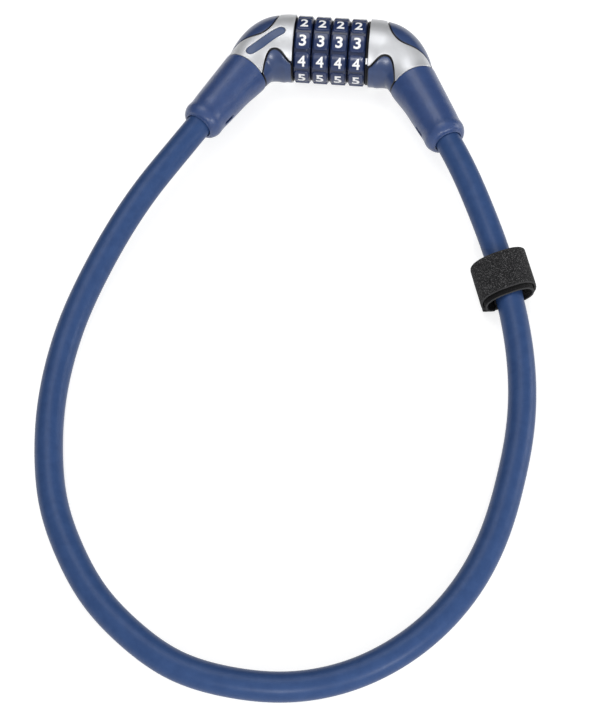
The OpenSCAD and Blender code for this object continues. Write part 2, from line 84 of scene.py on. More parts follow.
def smooth_line(points, count):
    """Curve through the points: a cubic between each two, with no jump in slope or bend from one to the
    next, sampled at equal steps of its own length."""
    knots = np.r_[0, np.cumsum(np.linalg.norm(np.diff(points, axis=0), axis=1))]
    gap = np.diff(knots)[:, None]
    slope = np.diff(points, axis=0) / gap
    matrix = np.eye(len(points))
    right = np.zeros_like(points)
    inner = np.arange(1, len(points) - 1)
    matrix[inner, inner - 1] = gap[:-1, 0]
    matrix[inner, inner] = 2 * (gap[:-1] + gap[1:])[:, 0]
    matrix[inner, inner + 1] = gap[1:, 0]
    right[1:-1] = 6 * np.diff(slope, axis=0)
    bend = np.linalg.solve(matrix, right)
    at = np.linspace(0, knots[-1], 20 * count)
    i = np.clip(np.searchsorted(knots, at) - 1, 0, len(gap) - 1)
    w = (at - knots[i])[:, None] / gap[i]
    line = ((1 - w) * points[i] + w * points[i + 1]
            + gap[i] ** 2 / 6 * (((1 - w) ** 3 - 1 + w) * bend[i] + (w ** 3 - w) * bend[i + 1]))
    run = np.r_[0, np.cumsum(np.linalg.norm(np.diff(line, axis=0), axis=1))]
    steps = np.linspace(0, run[-1], count)
    return np.stack([np.interp(steps, run, line[:, k]) for k in range(3)], -1)


def grid_faces(rows, columns, closed_rows=False):
    """Four-sided faces between neighbours in a grid whose points are stored row by row. Each row is a
    closed ring, and closed_rows also joins the last row to the first."""
    i = np.arange(rows - (not closed_rows))[:, None]
    j = np.arange(columns)[None, :]
    i_next, j_next = (i + 1) % rows, (j + 1) % columns
    corners = [i * columns + j, i_next * columns + j, i_next * columns + j_next, i * columns + j_next]
    return np.stack(corners, -1).reshape(-1, 4)


def end_faces(rows, columns):
    """One face on the first row of a tube and one on the last."""
    row = np.arange(columns)
    return np.stack([row, (rows - 1) * columns + row[::-1]])


def solid(name, points, *face_sets):
    """Closed smooth mesh. Its faces are turned over if the volume that they enclose is negative."""
    points = np.asarray(points, float).reshape(-1, 3)
    volume = 0.0
    for faces in face_sets:
        for k in range(1, faces.shape[1] - 1):
            fan = np.cross(points[faces[:, k]], points[faces[:, k + 1]])
            volume += np.einsum("ij,ij->", points[faces[:, 0]], fan)
    if volume < 0:
        face_sets = [faces[:, ::-1] for faces in face_sets]
    mesh = bpy.data.meshes.new(name)
    mesh.from_pydata(points.tolist(), [], [face for faces in face_sets for face in faces.tolist()])
    mesh.shade_smooth()
    piece = bpy.data.objects.new(name, mesh)
    bpy.context.scene.collection.objects.link(piece)
    return piece


def node_adder(tree):
    """Function that adds a node to a shader tree. A node's inputs are given by name: a plain value is set
    on the socket, and another node's output is linked to it. Its link makes any other link."""
    def connect(node, values):
        for key, value in values.items():
            socket = node.inputs[key.replace("_", " ")]
            if isinstance(value, bpy.types.NodeSocket):
                tree.links.new(value, socket)
            else:
                socket.default_value = value

    def add(kind, settings=None, **values):
        node = tree.nodes.new("ShaderNode" + kind)
        for key, value in (settings or {}).items():
            setattr(node, key, value)
        connect(node, values)
        return node

    add.link = tree.links.new
    add.shader = lambda **values: connect(tree.nodes["Principled BSDF"], values)
    return add


def finish_named(name, roughness, **inputs):
    """New material, and the function that adds nodes to it."""
    material = bpy.data.materials.new(name)
    material.use_nodes = True
    add = node_adder(material.node_tree)
    add.shader(Roughness=roughness, **inputs)
    return material, add


def mixed(add, share, first, second):
    """Mix of two colours by a share from 0 to 1. Each is a plain colour or another node's output."""
    mix = add("Mix", {"data_type": "RGBA"}, Factor=share)
    for socket, colour in zip(mix.inputs[6:8], (first, second)):
        if isinstance(colour, bpy.types.NodeSocket):
            add.link(colour, socket)
        else:
            socket.default_value = (*colour, 1)
    return mix.outputs[2]


# Near black that is painted into gaps, slots and grooves as their shade
painted_shade_black = (0.002, 0.002, 0.004)


def moulded(name, low, high, roughness, grain, grain_depth, blotch=220, rough_spread=0.06, paints_groove_shade=False,
            **inputs):
    """Moulded plastic: a base colour that drifts between two close tones in soft blotches, and a fine grain
    that shows in the surface and in the gloss. Where the finish is asked to paint groove shade, the colour
    goes to near black as the piece's own groove attribute goes to 1: painted shade in gaps, slots and
    grooves."""
    material, add = finish_named(name, roughness, **inputs)
    here = add("TexCoord").outputs["Object"]
    soft = add("TexNoise", Vector=here, Scale=blotch, Detail=3.0, Roughness=0.55).outputs["Fac"]
    fine = add("TexNoise", Vector=here, Scale=grain, Detail=2.0, Roughness=0.6).outputs["Fac"]
    tone = add("MapRange", Value=soft, From_Min=0.35, From_Max=0.65)
    colour = mixed(add, tone.outputs["Result"], low, high)
    # Painted shade: near black mixed in by the groove attribute
    if paints_groove_shade:
        groove = add("Attribute", {"attribute_name": "groove"}).outputs["Fac"]
        colour = mixed(add, groove, colour, painted_shade_black)
    gloss = add("MapRange", Value=fine, To_Min=roughness - rough_spread, To_Max=roughness + rough_spread)
    bump = add("Bump", Height=fine, Strength=1.0, Distance=grain_depth)
    add.shader(Base_Color=colour, Roughness=gloss.outputs["Result"], Normal=bump.outputs["Normal"])
    return material


def place(piece, material, slot, body, *replaced):
    """Gives a piece its finish, its body and the plain parts that it stands for. The cable is given no body."""
    piece.data.materials.append(material)
    if body:
        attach(piece, body)
    if replaced:
        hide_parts(*replaced)


cable_route = np.array([
    [-65, -45, 16], [-76, -66, 15], [-86, -88, 12.5], [-94, -110, 9.5], [-100, -132, 7], [-103, -155, 6],
    [-103, -178, 6], [-100, -201, 6], [-94, -223, 6], [-84, -243, 6], [-71, -261, 6], [-54, -276, 6],
    [-35, -287, 6], [-13, -292, 6], [10, -292, 6], [32, -286, 6], [52, -274, 6], [68, -258, 6],
    [80, -239, 6], [88, -218, 6], [93, -195, 6], [96, -172, 6.4], [96, -149, 7.4], [93, -126, 8.5],
    [88, -104, 8.7], [82, -84, 9.3], [74, -64, 12], [65, -45, 15.4]]) * mm
inside = straight_s + np.array([vinyl_end, neck_len + boot_len + past_mouth])
cable_points = np.vstack([around_line(-1, inside, 0, 0), cable_route, around_line(1, inside[::-1], 0, 0)])
cable_rings, cable_sides = 640, 40
line = smooth_line(cable_points, cable_rings)
along = np.gradient(line, axis=0)
along /= np.linalg.norm(along, axis=1)[:, None]
level = np.cross([0, 0, 1], along)
level /= np.linalg.norm(level, axis=1)[:, None]
upward = np.cross(along, level)
a = np.linspace(0, 2 * np.pi, cable_sides, endpoint=False)
ring = level[:, None] * np.cos(a)[:, None] + upward[:, None] * np.sin(a)[:, None]
cable = solid("cable_cover", line[:, None] + cable_r * ring,
              grid_faces(cable_rings, cable_sides), end_faces(cable_rings, cable_sides))
vinyl = moulded("cable_vinyl", low=(0.024, 0.057, 0.160), high=(0.030, 0.067, 0.180), roughness=0.38,
                grain=900, grain_depth=0.02 * mm, Specular_IOR_Level=0.2)
place(cable, vinyl, "cable_vinyl", None, "cable")
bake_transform(cable)

# ---- Strap ----
# Black hook-and-loop nylon, nearly 20 mm wide, wound twice round the cable in a flat loop that rests on
# the table. The inner turn stands out a little towards the loop. It has a napped face and square-cut
# ends.
strap_on = np.array([85.7, -98.7]) * mm
strap_skew, strap_roll, strap_lean = np.radians(17.2), np.radians(6), 0.11
strap_w, strap_t, strap_gap = 18.8 * mm, 1.0 * mm, 0.55 * mm
strap_turns, strap_start = 2.05, np.radians(233)
strap_half = cable_r + np.array([3.7, -0.85]) * mm
cable_aside = 0.2 * mm
inner_out, inner_turns, step_turns = 2.2 * mm, 0.6, 0.5
nap_depth = 0.05 * mm


def ease(t):
    """Smooth step from 0 to 1."""
    t = np.clip(t, 0, 1)
    return t * t * (3 - 2 * t)


def squared(wave):
    """Sine or cosine held longer near its crests, which makes an ellipse a little square."""
    return np.sign(wave) * np.abs(wave) ** 0.8


def strap_spiral(turn, off):
    """Point of the wound band seen along the cable: a squared ellipse that grows by the band's thickness
    and a small gap with each turn; off is the distance from its inner face."""
    a = strap_start - turn * 2 * np.pi
    grow = (strap_t + strap_gap) * turn + off
    x = (strap_half[0] + grow) * squared(np.cos(a)) - cable_aside
    z = (strap_half[1] + grow) * squared(np.sin(a))
    cos, sin = np.cos(strap_roll), np.sin(strap_roll)
    return x * cos - z * sin, x * sin + z * cos


def mark(piece, name, values):
    """Gives each point of a piece a number that its finish reads by name."""
    attribute = piece.data.attributes.new(name, "FLOAT", "POINT")
    attribute.data.foreach_set("value", np.ravel(values).astype(float))


def ramped(add, share, low_at, low, high_at, high):
    """Colour that runs from low to high as a share runs from low_at to high_at."""
    ramp = add("ValToRGB", Fac=share)
    for k, (at, colour) in enumerate(((low_at, low), (high_at, high))):
        element = ramp.color_ramp.elements[k]
        element.position, element.color = at, (*colour, 1)
    return ramp.outputs["Color"]


rng = np.random.default_rng(7)
strap_rows, strap_across, strap_edge = 460, 30, 5
turns = np.linspace(0, strap_turns, strap_rows)[:, None]
# Section of the band, all round it: its wide faces, and rounded edges
edge = np.linspace(-np.pi / 2, np.pi / 2, strap_edge + 2)[1:-1]
edge_bulge = strap_t * 0.35
face_w = np.linspace(-1, 1, strap_across) * (strap_w - strap_t * 0.7) / 2
section_w = np.r_[face_w, face_w[-1] + edge_bulge * np.cos(edge),
                  face_w[::-1], face_w[0] - edge_bulge * np.cos(edge)]
section_t = np.r_[np.zeros(strap_across), 0.5 + 0.5 * np.sin(edge),
                  np.ones(strap_across), 0.5 - 0.5 * np.sin(edge)] * strap_t
nap = rng.normal(0, nap_depth, (len(turns), len(section_t)))
x, z = strap_spiral(turns, np.clip(section_t + nap, 0, strap_t))
z -= z.min()
w = section_w + inner_out * (1 - np.clip((turns - inner_turns) / step_turns, 0, 1)) - strap_lean * x
cos, sin = np.cos(strap_skew), np.sin(strap_skew)
strap_points = np.stack([strap_on[0] + x * cos + w * sin, strap_on[1] + x * sin - w * cos, z], -1)
strap = solid("strap_band", strap_points, grid_faces(*x.shape), end_faces(*x.shape))
fabric, add = finish_named("strap_fabric", 0.9, Sheen_Weight=0.06, Sheen_Roughness=0.5,
                           Specular_IOR_Level=0.15)
here = add("TexCoord").outputs["Object"]
speck = add("TexNoise", Vector=here, Scale=2200.0, Detail=3.0, Roughness=0.7).outputs["Fac"]
colour = ramped(add, speck, 0.52, (0.010, 0.010, 0.011), 0.80, (0.24, 0.24, 0.245))
bump = add("Bump", Height=speck, Strength=1.0, Distance=0.3 * mm)
# The inner turn is painted darker, as the shade it lies in under the outer turn, and the band's edges are
# painted paler, as a highlight line along them
mark(strap, "hook_side", ease(1.25 - turns / 0.9) + 0 * section_w)
mark(strap, "selvedge", (np.abs(section_w) > face_w[-1] + 0.1 * strap_t) + 0 * turns)
for kind, tone in (("hook_side", (0.004, 0.004, 0.0045)), ("selvedge", (0.045, 0.045, 0.047))):
    share = add("Attribute", {"attribute_name": kind}).outputs["Fac"]
    colour = mixed(add, share, colour, tone)
add.shader(Base_Color=colour, Normal=bump.outputs["Normal"])
place(strap, fabric, "strap_fabric", "strap_loop", "strap")

mouth = around_line(-1, straight_s + neck_len + boot_len, 0, 0)

# ---- Boots ----
# Soft-touch sleeves over the ends' spigots: a straight taper, a rounded end, and a mouth that clears
# the cable all round. A mould's slot shows on the inner side near the mouth.
neck_r, boot_end_r, mouth_r, spigot_r = 10.95 * mm, 9.45 * mm, 6.6 * mm, 8.6 * mm
boot_dome, boot_edge, play = 4.4 * mm, 0.4 * mm, 0.1 * mm
flare, flare_len = 0.22 * mm, 1.8 * mm
crease, crease_len, crease_before = 0.1 * mm, 2.4 * mm, 4 * mm
spigot_end, mouth_len, lip = neck_len + 18.4 * mm, 3 * mm, 0.35 * mm
mould_slot_in, mould_slot_len, mould_slot_w, mould_slot_depth = 11.3 * mm, 4 * mm, 1.9 * mm, 2.2 * mm
mould_slot_angle, mould_slot_slope = np.radians(184), 0.2 * mm
root_fill, root_len, root_angle = 0.9 * mm, 14 * mm, np.radians(210)
ends = ((-1, "left", "lock_body"), (1, "right", "bolt_end"))


def root_lobe(a):
    """How far the inner corner is filled out round a section: one smooth hump, which is fullest a little
    below the inner side."""
    return root_fill * ease((np.cos(a - root_angle) - 0.5) / 0.5)


def boot_section():
    """Closed outline of a boot's wall as distance along it and radius: bevel, taper, a quarter of an
    ellipse, a small round lip, and the stepped bore back to the start. Before the end it draws in by a
    soft crease and then flares."""
    start, dome, end = neck_len + play, neck_len + boot_len - boot_dome, neck_len + boot_len
    bevel = np.linspace(0, np.pi / 2, 6)
    taper = np.linspace(0, 1, 150)[1:]
    curve = np.linspace(0, np.pi / 2, 40)[1:-1]
    round_lip = np.linspace(0, np.pi, 9)
    u = [start + boot_edge * (1 - np.cos(bevel)), start + boot_edge + taper * (dome - start - boot_edge),
         dome + (boot_dome - lip) * np.sin(curve), end - lip + lip * np.sin(round_lip),
         [end - mouth_len, spigot_end + play, spigot_end + play, start]]
    r = [neck_r - boot_edge * (1 - np.sin(bevel)), neck_r + taper * (boot_end_r - neck_r),
         mouth_r + lip + (boot_end_r - mouth_r - lip) * np.cos(curve), mouth_r + lip * np.cos(round_lip),
         [mouth_r, mouth_r, spigot_r, spigot_r]]
    u, r = np.concatenate(u), np.concatenate(r)
    rise = flare * np.exp(-((u - dome) / flare_len) ** 2)
    dip = crease * np.exp(-((u - dome + crease_before) / crease_len) ** 2)
    return u, r + (rise - dip) * (r > mouth_r + 2 * lip)


rubber = moulded("boot_rubber", low=(0.022, 0.051, 0.160), high=(0.028, 0.062, 0.182), roughness=0.31,
                 rough_spread=0.04, grain=2600, grain_depth=0.1 * mm, paints_groove_shade=True,
                 Specular_IOR_Level=0.45, Coat_Weight=0.15, Coat_Roughness=0.2)
u, r = boot_section()
# The lines of points that run along the boot are closer together at the slot
a = np.union1d(np.linspace(0, 2 * np.pi, 144, endpoint=False),
               mould_slot_angle + np.linspace(-1, 1, 25) * np.radians(8))
across = (a - mould_slot_angle) * boot_end_r
lengthwise = u - (neck_len + boot_len - mould_slot_in)
past_end = np.maximum(np.abs(lengthwise)[:, None] - mould_slot_len / 2, 0)
from_slot = np.hypot(past_end, across[None, :]) - mould_slot_w / 2
cut = np.clip(-from_slot / mould_slot_slope, 0, 1) * (r > boot_end_r - crease)[:, None]
fill = (r > spigot_r)[:, None] * root_lobe(a) * (1 - ease((u - neck_len) / root_len))[:, None]
for side, name, body in ends:
    skin = around_line(side, (straight_s + u)[:, None], a, r[:, None] + fill - mould_slot_depth * cut)
    boot = solid(f"{name}_boot_cover", skin, grid_faces(len(u), len(a), closed_rows=True))
    # Painted shade: the slot's hollow is marked to go near black
    mark(boot, "groove", np.clip(2 * cut, 0, 1))
    place(boot, rubber, "boot_rubber", body, f"{name}_boot")

# ---- Elbow ends ----
# Blue moulded bodies of the two ends: a core inside the silver cover, from which a thumb pad on the outer
# corner and a hump beside the dials rise through the cover's openings, with rounded edges and a narrow
# gap round them.
barrel_r, narrowing_s, edge_s = 16 * mm, 7.1 * mm, straight_s + neck_len
cover_t, cover_step, pad_step, root_s = 1.2 * mm, 0.45 * mm, 0.2 * mm, 12 * mm
body_gap, body_under, pad_round, hump_round = 0.5 * mm, 0.5 * mm, 0.6 * mm, 0.8 * mm
bore_in, bore_r = 11.4 * mm, {"left": 7.05 * mm, "right": 4.75 * mm}


def cover_radius(s):
    """The outside of an end: a barrel that narrows to the neck in one smooth ease."""
    return barrel_r + (neck_r - barrel_r) * ease((s - narrowing_s) / (edge_s - narrowing_s))


def body_radius(s, a):
    """The outside of the blue body: below the cover's surface by one step on the outer side and another on
    the inner side, where it is rounded out again towards the loop and filled out near the boot."""
    inner = -np.cos(a)
    step = pad_step + (cover_step - pad_step) * ease(inner / 0.6)
    round_out = (cover_step - play) * ease((inner - 0.6) / 0.4)
    return cover_radius(s) - step + round_out + root_lobe(a) * ease((s - root_s) / (edge_s - root_s))


def bezier(points, count=40):
    """Cubic curve from the first point to the last, drawn by the two between."""
    p = np.array(points) * mm
    t = np.linspace(0, 1, count)[:, None]
    return (1 - t) ** 3 * p[0] + 3 * (1 - t) ** 2 * t * p[1] + 3 * (1 - t) * t ** 2 * p[2] + t ** 3 * p[3]


# Outlines seen from above, counted from the end's face and the dials' axis. The thumb pad's is an S from
# the back to the boot's edge, and the hump's runs from the face over a crest and down to the boot. The
# curves are given in millimetres, and the last point of each outline in metres.
pad_curve = np.vstack([bezier([[7.4, 17], [7.4, 3], [10.4, -3.5], [17.1, -4.4]]),
                       bezier([[17.1, -4.4], [21.4, -5], [27.6, -4.6], [29.8, -11.3]])[1:],
                       [[0.0312, -0.0156]]])
hump_curve = np.vstack([bezier([[-2, -14.4], [3.4, -14.4], [3.9, -10.2], [8.4, -10.2]]),
                        bezier([[8.4, -10.2], [12, -10.2], [12.6, -14], [13.3, -20.2]])[1:],
                        [[0.0136, -0.030]]])
hump_under = 2.2 * mm


def from_middle(x, y):
    """Nearest point of an end's middle line in plan, as s, and the offset from it to the outer side."""
    turn = np.arctan2(x - barrel_len, y + elbow_r)
    turn_in = np.clip(turn, 0, elbow_angle)
    s = barrel_len + elbow_r * turn_in
    offset = np.hypot(x - barrel_len, y + elbow_r) - elbow_r
    before = x < barrel_len
    s = np.where(before, x, s)
    offset = np.where(before, y, offset)
    cos, sin = np.cos(elbow_angle), np.sin(elbow_angle)
    from_bend = np.stack([x - barrel_len - elbow_r * sin, y + elbow_r * (1 - cos)], -1)
    beyond = turn > elbow_angle
    s = np.where(beyond, straight_s + from_bend @ np.array([cos, -sin]), s)
    return s, np.where(beyond, from_bend @ np.array([sin, cos]), offset)


def to_unrolled(plan, under):
    """Where points given in plan lie on an end's surface, as s and a, over the top or, with under, below."""
    s, offset = from_middle(plan[:, 0], plan[:, 1])
    a = np.arccos(np.clip(offset / cover_radius(s), -1, 1))
    return s, -a if under else a


def on_end(curve, under, past=0.0):
    """The part of a plan curve that lies on the end, between its face and the boot's edge or a little
    past them. Points beside the end, which would land on its widest line, are left out."""
    fine = np.linspace(0, len(curve) - 1, 12 * len(curve))
    plan = np.stack([np.interp(fine, np.arange(len(curve)), curve[:, k]) for k in (0, 1)], -1)
    s, a = to_unrolled(plan, under)
    kept = (s >= -past) & (s <= edge_s + past) & (np.abs(a) > 1e-4) & (np.abs(a) < np.pi - 1e-4)
    return s[kept], a[kept]


def chain(*runs):
    """One closed outline from runs of s and a, each joined to the next by a straight run of points."""
    s, a = [], []
    for run, after in zip(runs, runs[1:] + runs[:1]):
        w = np.linspace(0, 1, 120)[1:-1]
        s += [run[0], run[0][-1] + w * (after[0][0] - run[0][-1])]
        a += [run[1], run[1][-1] + w * (after[1][0] - run[1][-1])]
    return np.concatenate(s), np.concatenate(a)


def backwards(run):
    """A run of s and a from its last point to its first."""
    return run[0][::-1], run[1][::-1]


def in_step(s, a, spacing, gap):
    """Closed outline resampled at equal steps of its length on an end's surface. Its corners are eased by
    averaging each point with its neighbours, nine times over and more often the wider the gap is, so that
    the outline can be drawn in by the gap without crossing itself."""
    s, a = np.r_[s, s[0]], np.r_[a, a[0]]
    at = around_line(1, s, a, cover_radius(s))
    run = np.r_[0, np.cumsum(np.linalg.norm(np.diff(at, axis=0), axis=1))]
    steps = np.linspace(0, run[-1], int(run[-1] / spacing), endpoint=False)
    even = np.stack([np.interp(steps, run, s), np.interp(steps, run, a)])
    for _ in range(9 + int(7 * (gap / spacing) ** 2)):
        even = (np.roll(even, 1, axis=1) + 2 * even + np.roll(even, -1, axis=1)) / 4
    return even


def turned(s, a, clockwise):
    """Outline run the asked way round in the unrolled plane."""
    area = (s * np.roll(a, -1) - np.roll(s, -1) * a).sum()
    return (s[::-1], a[::-1]) if (area > 0) == clockwise else (s, a)


def moved_in(s, a, inset):
    """Outline moved sideways over the surface, to its left as it runs. The move is made in space, square
    to the outline and to the way out from the middle line, and read back as s and a."""
    at = around_line(1, s, a, cover_radius(s))
    way_out = at - around_line(1, s, a, 0)
    run = np.roll(at, -1, axis=0) - np.roll(at, 1, axis=0)
    aside = np.cross(run, way_out)
    at = at + inset * aside / np.linalg.norm(aside, axis=1)[:, None]
    s, offset = from_middle(at[:, 0] - face_x, at[:, 1] - axis_y)
    change = np.arctan2(at[:, 2] - axis_z, offset) - a
    return s, a + (change + np.pi) % (2 * np.pi) - np.pi


def inside_all(points, outlines):
    """Whether points of the unrolled plane lie within the first outline and in none of the others."""
    odd = np.zeros(len(points), bool)
    for outline in outlines:
        p, q = outline, np.roll(outline, -1, axis=0)
        crosses = (p[:, 1] > points[:, 1:]) != (q[:, 1] > points[:, 1:])
        rise = np.where(q[:, 1] == p[:, 1], 1, q[:, 1] - p[:, 1])
        at = p[:, 0] + (points[:, 1:] - p[:, 1]) / rise * (q[:, 0] - p[:, 0])
        odd ^= (crosses & (points[:, :1] < at)).sum(1) % 2 == 1
    return odd


def unrolled(s, a):
    """Points of the unrolled plane."""
    return np.stack([s, a * barrel_r], -1)


def fill_outlines(outlines, inner):
    """Triangles between closed outlines and the points among them, in the unrolled plane: a Delaunay
    mesh that keeps the outlines' edges, and only what is within the first and in none of the others."""
    starts = np.cumsum([0] + [len(outline) for outline in outlines])
    edges = [(int(start + i), int(start + (i + 1) % len(outline)))
             for start, outline in zip(starts, outlines) for i in range(len(outline))]
    points = np.vstack([*outlines, inner])
    filled = delaunay_2d_cdt([tuple(point) for point in points.tolist()], edges, [], 0, 1e-9)
    first_origin = np.array([origins[0] for origins in filled[3]])
    triangles = first_origin[np.array(filled[2])]
    corners = points[triangles]
    facing = np.cross(corners[:, 1] - corners[:, 0], corners[:, 2] - corners[:, 0])
    triangles[facing > 0] = triangles[facing > 0][:, ::-1]
    return triangles[inside_all(corners.mean(1), outlines)]


def shell_cut_from_end(name, side, outlines, surface, in_depth, edge_round, gap=0.0, spacing=0.6 * mm):
    """Shell between a surface, given as its radius at s and a, and a depth under the end's outside. The
    first outline is its rim and the others are holes, all drawn in by the gap. An edge is a wall and then a
    quarter round, made of rows of points that follow the rim; between them the surface is unrolled, filled
    with triangles and rolled up again. Its groove attribute is 1 on all but the top of the quarter round, on
    the walls and underneath: where the finish reads it, this is painted shade in the gap round the shell."""
    quarter = np.linspace(0, np.pi / 2, 6)[1:]
    rims, rows = [], []
    for k, (s, a) in enumerate(outlines):
        s, a = moved_in(*turned(*in_step(s, a, 0.3 * mm, gap), clockwise=k > 0), gap)
        rims.append((s, a))
        rows += [(1 - np.sin(q), *moved_in(s, a, edge_round * (1 - np.cos(q)))) for q in quarter]
    rim_s, rim_a = np.concatenate(rims, axis=1)
    low, high = unrolled(rim_s, rim_a).min(0), unrolled(rim_s, rim_a).max(0)
    grid = np.stack(np.meshgrid(*(np.arange(low[k], high[k], spacing) for k in (0, 1))), -1).reshape(-1, 2)
    drop = np.concatenate([np.full(len(s), down) for down, s, a in rows] + [np.zeros(len(grid))])
    inner_s = np.concatenate([s for down, s, a in rows] + [grid[:, 0]])
    inner_a = np.concatenate([a for down, s, a in rows] + [grid[:, 1] / barrel_r])
    # A row's point is kept where no part of the rim is nearer than its own, so that rows don't cross
    in_from_rim = 1 - np.sqrt(np.clip(1 - (1 - drop[:-len(grid)]) ** 2, 0, 1))
    least = np.concatenate([0.93 * edge_round * in_from_rim,
                            np.full(len(grid), edge_round + 0.35 * spacing)])
    rim_at = around_line(1, rim_s, rim_a, cover_radius(rim_s))
    inner_at = around_line(1, inner_s, inner_a, cover_radius(inner_s))
    to_rim = np.linalg.norm(inner_at[:, None] - rim_at[None], axis=2).min(1)
    flat_rims = [unrolled(s, a) for s, a in rims]
    kept = (to_rim > least) & inside_all(unrolled(inner_s, inner_a), flat_rims)
    inner_s, inner_a, drop = inner_s[kept], inner_a[kept], drop[kept] * edge_round
    triangles = fill_outlines(flat_rims, unrolled(inner_s, inner_a))
    s, a = np.r_[rim_s, inner_s], np.r_[rim_a, inner_a]
    top = around_line(side, s, a, surface(s, a) - np.r_[np.full(len(rim_s), edge_round), drop])
    under = around_line(side, s, a, cover_radius(s) - in_depth)
    walls, start = [], 0
    for rim in flat_rims:
        here = start + np.arange(len(rim))
        after = np.roll(here, -1)
        walls.append(np.stack([here, after, after + len(s), here + len(s)], -1))
        start += len(rim)
    shell = solid(name, np.vstack([top, under]), triangles, triangles[:, ::-1] + len(s), *walls)
    # Painted shade: near black on the rim row, fading out over the quarter round towards its top
    painted_shade_share = np.clip(drop / (0.18 * edge_round), 0, 1)
    mark(shell, "groove", np.r_[np.ones(len(rim_s)), painted_shade_share, np.ones(len(s))])
    return shell


pad_top, pad_low = on_end(pad_curve, False), on_end(pad_curve, True)
hump_top, hump_low = on_end(hump_curve, False), on_end(hump_curve + [0, hump_under], True)
# The pad's and the hump's outlines run past the end's face and the boot's edge by the gap
pad_past = on_end(pad_curve, False, body_gap)
pad_outline = chain(pad_past, backwards((pad_past[0], -pad_past[1])))
hump_past = on_end(hump_curve, False, body_gap)
hump_low_past = on_end(hump_curve + [0, hump_under], True, body_gap)
hump_outline = chain(hump_past, backwards((hump_low_past[0], hump_low_past[1] + 2 * np.pi)))
raised_parts = (("thumb_pad", pad_outline, pad_round), ("hump", hump_outline, hump_round))
navy = moulded("navy_plastic", low=(0.024, 0.048, 0.134), high=(0.030, 0.058, 0.152), roughness=0.28,
               rough_spread=0.01, grain=1500, grain_depth=0.01 * mm, paints_groove_shade=True, Specular_IOR_Level=0.5)
a = np.linspace(0, 2 * np.pi, 120, endpoint=False)
s = np.linspace(0, edge_s, 60)[:, None]
for side, name, body in ends:
    face = around_line(side, 0, a, np.full((2, 1), bore_r[name]))
    face[0, :, 0] += side * bore_in
    core = around_line(side, s, a, cover_radius(s) - cover_t - play)
    neck = around_line(side, edge_s, a, np.full((1, 1), spigot_r))
    rows = np.concatenate([face, core, neck])
    housing = solid(f"{name}_body", rows, grid_faces(len(rows), len(a)), end_faces(len(rows), len(a)))
    housing.data.set_sharp_from_angle(angle=np.radians(40))
    # Painted shade: the core and neck rows are marked 1, so they go near black where they show in the gaps
    # round pad and hump
    mark(housing, "groove", np.arange(len(rows))[:, None] > len(face) + 0 * a)
    place(housing, navy, "navy_plastic", body, f"{name}_housing")
    for part, outline, edge_round in raised_parts:
        raised = shell_cut_from_end(f"{name}_{part}", side, [outline], body_radius, cover_t + body_under,
                                    edge_round, body_gap)
        place(raised, navy, "navy_plastic", body)

# ---- Covers ----
# Thin silver-painted shells snapped over the ends. Each is cut away round the thumb pad and the hump,
# and the left one has a slot for the badge. Their edges are rounded and turn down to the blue body.
cover_rim = chain(backwards(hump_top), hump_low, backwards(pad_low), pad_top)
cover_round = 0.25 * mm
badge_mid, badge_turn = np.array([12.7, -7.1]) * mm, np.radians(-34.3)
badge_len, badge_w = 20.8 * mm, 4.4 * mm


def badge_outline(shrink):
    """Slot with round ends, drawn in plan, made smaller all round by shrink and laid on top of an end."""
    r = badge_w / 2 - shrink
    half = (badge_len - badge_w) / 2
    a = np.linspace(-np.pi / 2, np.pi / 2, 40)
    along_side = np.linspace(half, -half, 80)[1:-1]
    x = np.r_[half + r * np.cos(a), along_side, -half - r * np.cos(a), -along_side]
    y = np.r_[r * np.sin(a), 0 * along_side + r, -r * np.sin(a), 0 * along_side - r]
    cos, sin = np.cos(badge_turn), np.sin(badge_turn)
    plan = np.stack([badge_mid[0] + x * cos - y * sin, badge_mid[1] + x * sin + y * cos], -1)
    return to_unrolled(plan, False)


silver = moulded("silver_cover", low=(0.59, 0.60, 0.62), high=(0.65, 0.66, 0.68), roughness=0.46,
                 grain=4200, grain_depth=0.02 * mm, blotch=90, Metallic=0.6, Specular_IOR_Level=0.4)
for side, name, body in ends:
    outlines = [cover_rim, badge_outline(0)] if name == "left" else [cover_rim]
    cover = shell_cut_from_end(f"{name}_shell", side, outlines, lambda s, a: cover_radius(s), cover_t,
                               cover_round)
    place(cover, silver, "silver_cover", body, f"{name}_cover")

# ---- Badge ----
# Blue plate let into the left cover's slot, a little below its surface. Its face is bare.
badge_depth, badge_gap, badge_round = 0.3 * mm, 0.12 * mm, 0.2 * mm
badge_blue = moulded("badge_blue", low=(0.042, 0.070, 0.158), high=(0.050, 0.082, 0.176), roughness=0.34,
                     grain=1800, grain_depth=0.02 * mm, Specular_IOR_Level=0.4)
badge = shell_cut_from_end("badge_face", -1, [badge_outline(badge_gap)],
                           lambda s, a: cover_radius(s) - badge_depth, cover_t, badge_round,
                           spacing=0.5 * mm)
place(badge, badge_blue, "navy_plastic", "lock_body", "badge_plate")

# ---- Dials ----
# Four glossy moulded rings. Each has ten raised pads with rounded edges and corners, a sloped rim at
# either side, and white-filled numbers 0 to 9.
dial_r, groove_r = 15.75 * mm, 15 * mm
pad_half, pad_corner, pad_brow = np.array([3.4, 4.3]) * mm, 1.3 * mm, 0.5 * mm
rim_wider, rim_drop, rim_in = 0.1 * mm, 0.9 * mm, 0.7 * mm
dial_half = (dial_high.x - dial_low.x) / 2 + rim_wider
dial_bore = 10.45 * mm
# Painted shade at the pads' feet and near the rims: how dark, up to what height, and over what width
foot_shade, foot_high, rim_shade_in, rim_shade_fade = 0.45, 0.25 * mm, 0.4 * mm, 0.2 * mm
# The row of numbers that opens the lock: its place round the axis, and the digit that stands there
row_angle, digit_step, row_digit = np.radians(60), np.radians(36), 4


